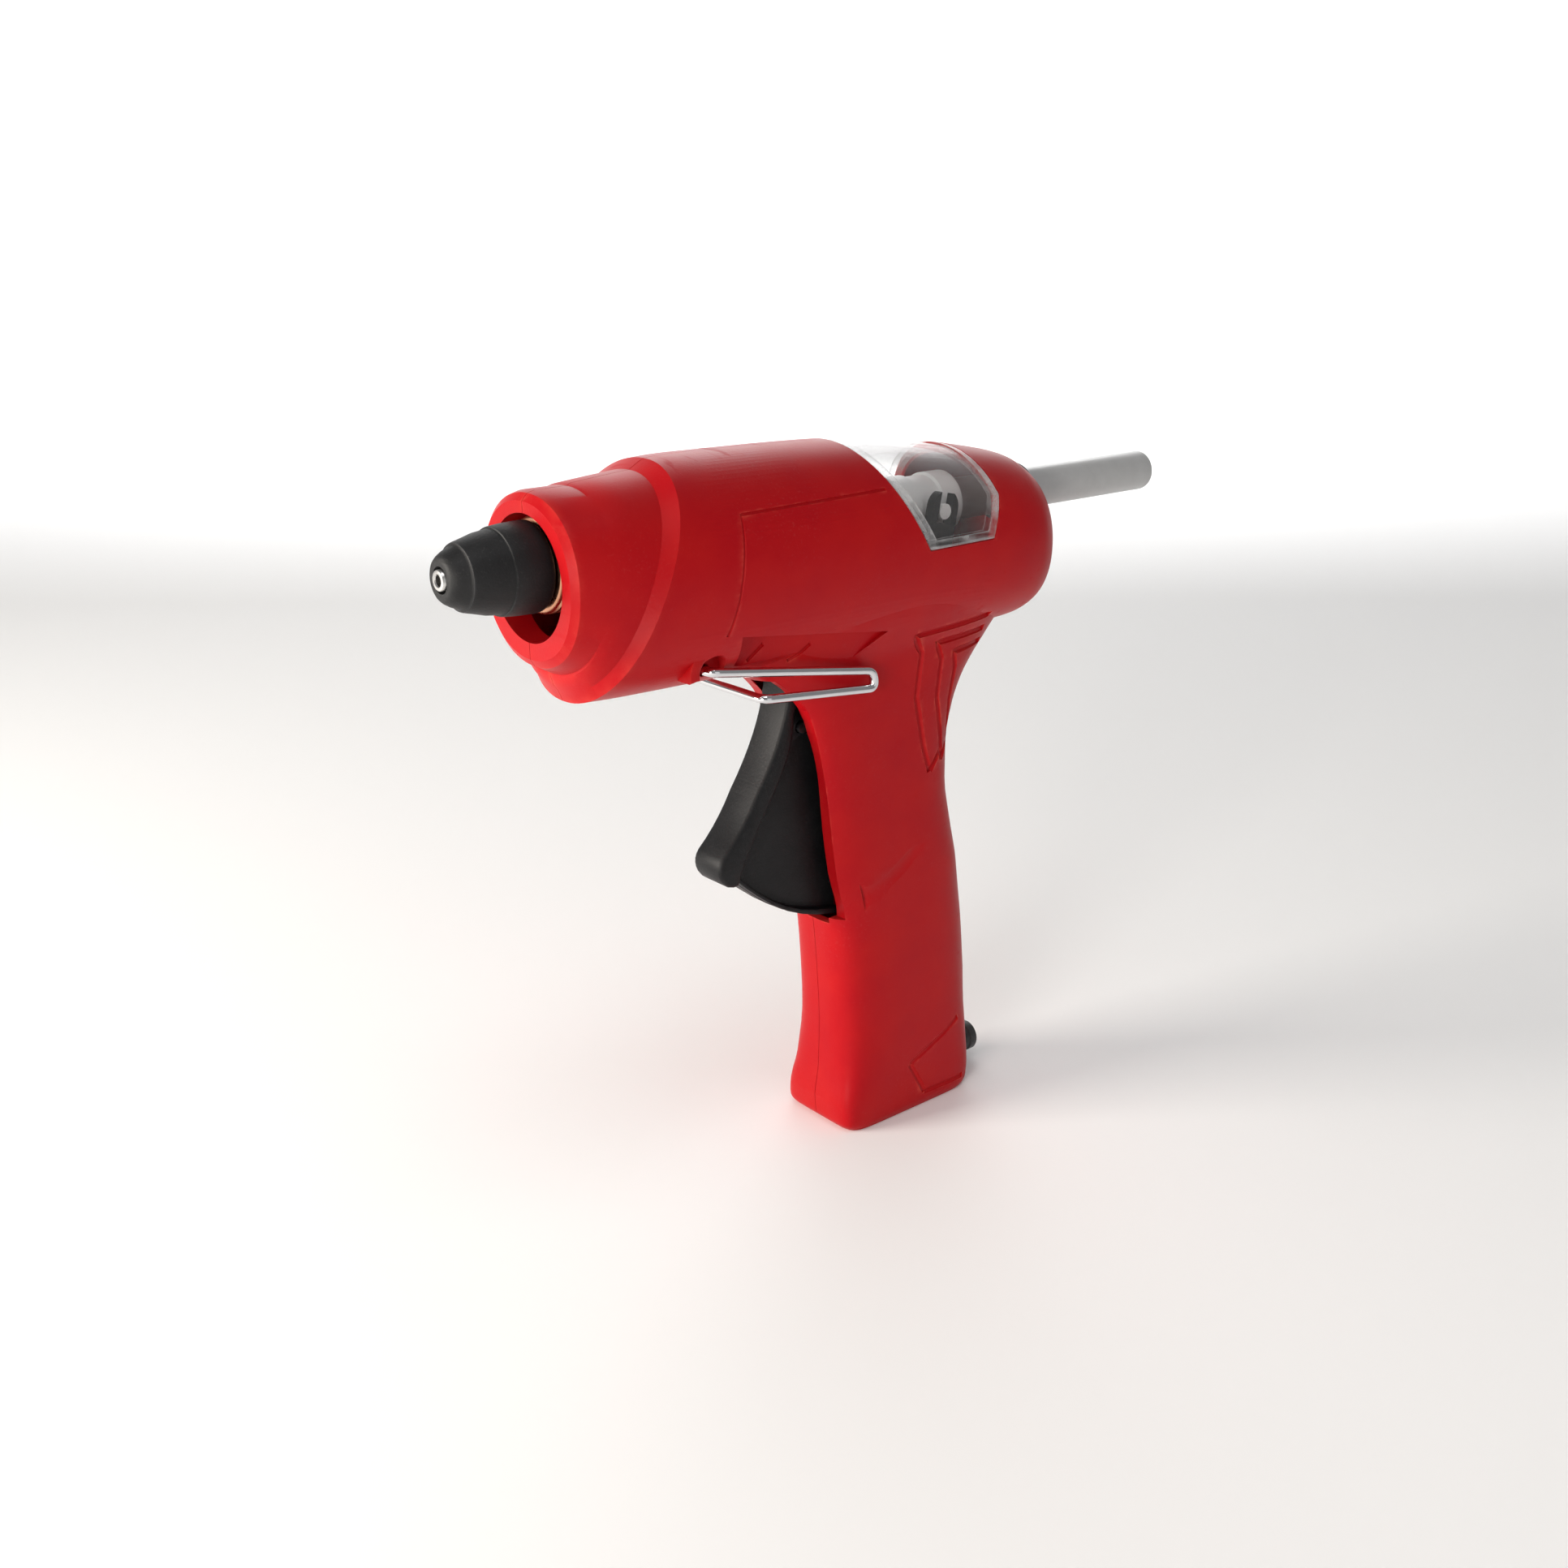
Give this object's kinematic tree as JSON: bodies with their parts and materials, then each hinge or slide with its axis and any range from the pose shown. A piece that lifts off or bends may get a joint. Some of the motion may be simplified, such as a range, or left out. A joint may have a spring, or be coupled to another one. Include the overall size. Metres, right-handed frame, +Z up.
{
  "type": "glue gun",
  "caption": "Pistol-grip hot glue gun with a rubber-covered nozzle, clear feed window, sprung trigger and fold-out wire stand.",
  "frame": {"origin": "middle of the flat face under the handle", "axes": "+X along the barrel towards the nozzle, +Y to the gun's left, +Z up the handle"},
  "size_m": [0.2296, 0.0486, 0.1878],
  "materials": {
    "red_shell": "semi-gloss moulded ABS",
    "clear_window": "clear polished",
    "screw_steel": "zinc plated",
    "tip_metal": "turned, nickel plated",
    "cover_rubber": "satin silicone rubber",
    "ring_copper": "drawn copper",
    "chamber_aluminium": "die cast",
    "film_amber": "polyimide film",
    "stone_white": "fired ceramic",
    "sleeve_silicone": "moulded silicone",
    "pin_steel": "ground",
    "spring_steel": "drawn wire",
    "black_plastic": "fine textured",
    "milky_plastic": "natural polyamide",
    "glue": "milky hot-melt glue",
    "chrome_wire": "bright plated",
    "gland_rubber": "satin",
    "lead_brown": "glass-braid sleeved",
    "lead_blue": "glass-braid sleeved"
  },
  "bodies": {
    "housing": {"housing_left": "red_shell", "housing_right": "red_shell", "window": "clear_window", "housing_screw_1": "screw_steel", "housing_screw_2": "screw_steel", "housing_screw_3": "screw_steel", "housing_screw_4": "screw_steel", "housing_screw_5": "screw_steel", "nozzle": "tip_metal", "nozzle_cover": "cover_rubber", "chamber_ring": "ring_copper", "heating_chamber": "chamber_aluminium", "heater_film": "film_amber", "heater_stone": "stone_white", "heater_wedge": "chamber_aluminium", "inlet_sleeve": "sleeve_silicone", "sleeve_clamp": "pin_steel", "stick_guide": "black_plastic", "return_spring": "spring_steel", "trigger_pin": "pin_steel", "lever_pin": "pin_steel", "cord_gland": "gland_rubber", "cord_clamp": "black_plastic", "clamp_screw_1": "screw_steel", "clamp_screw_2": "screw_steel", "lead_live": "lead_brown", "lead_neutral": "lead_blue"},
    "trigger": {"trigger": "black_plastic", "link_pin_front": "pin_steel"},
    "trigger_link": {"trigger_link": "pin_steel"},
    "feed_lever": {"feed_lever": "black_plastic", "link_pin_rear": "pin_steel"},
    "carriage": {"feed_carriage": "milky_plastic", "grip_jaw": "pin_steel"},
    "glue_stick": {"glue_stick": "glue"},
    "stand": {"wire_stand": "chrome_wire"}
  },
  "joints": [
    {"name": "trigger_pull", "type": "hinge", "parent": "housing", "child": "trigger", "pos_m": [0.036, 0, 0.134], "axis": [0, 1, 0], "range_deg": [0, 24], "stiffness_Nm_per_rad": 0.8, "springref_deg": -14.32},
    {"name": "link_swing", "type": "hinge", "parent": "trigger", "child": "trigger_link", "pos_m": [0.034, 0, 0.116], "axis": [0, 1, 0], "range_deg": [-24, 0]},
    {"name": "lever_swing", "type": "hinge", "parent": "housing", "child": "feed_lever", "pos_m": [0, 0, 0.134], "axis": [0, 1, 0], "range_deg": [0, 24]},
    {"name": "carriage_feed", "type": "slide", "parent": "housing", "child": "carriage", "axis": [1, 0, 0], "range_m": [0, 0.0141], "deforming": ["return_spring"]},
    {"name": "stick_slide", "type": "slide", "parent": "carriage", "child": "glue_stick", "axis": [1, 0, 0], "range_m": [-0.06, 0.018]},
    {"name": "stand_fold", "type": "hinge", "parent": "housing", "child": "stand", "pos_m": [0.0728, 0, 0.14], "axis": [0, -1, 0], "range_deg": [0, 115]}
  ],
  "couplings": [
    {"joint": "link_swing", "follows": "trigger_pull", "ratio": -1},
    {"joint": "lever_swing", "follows": "trigger_pull", "ratio": 1},
    {"joint": "carriage_feed", "follows": "trigger_pull", "m_per_rad": 0.0335}
  ]
}
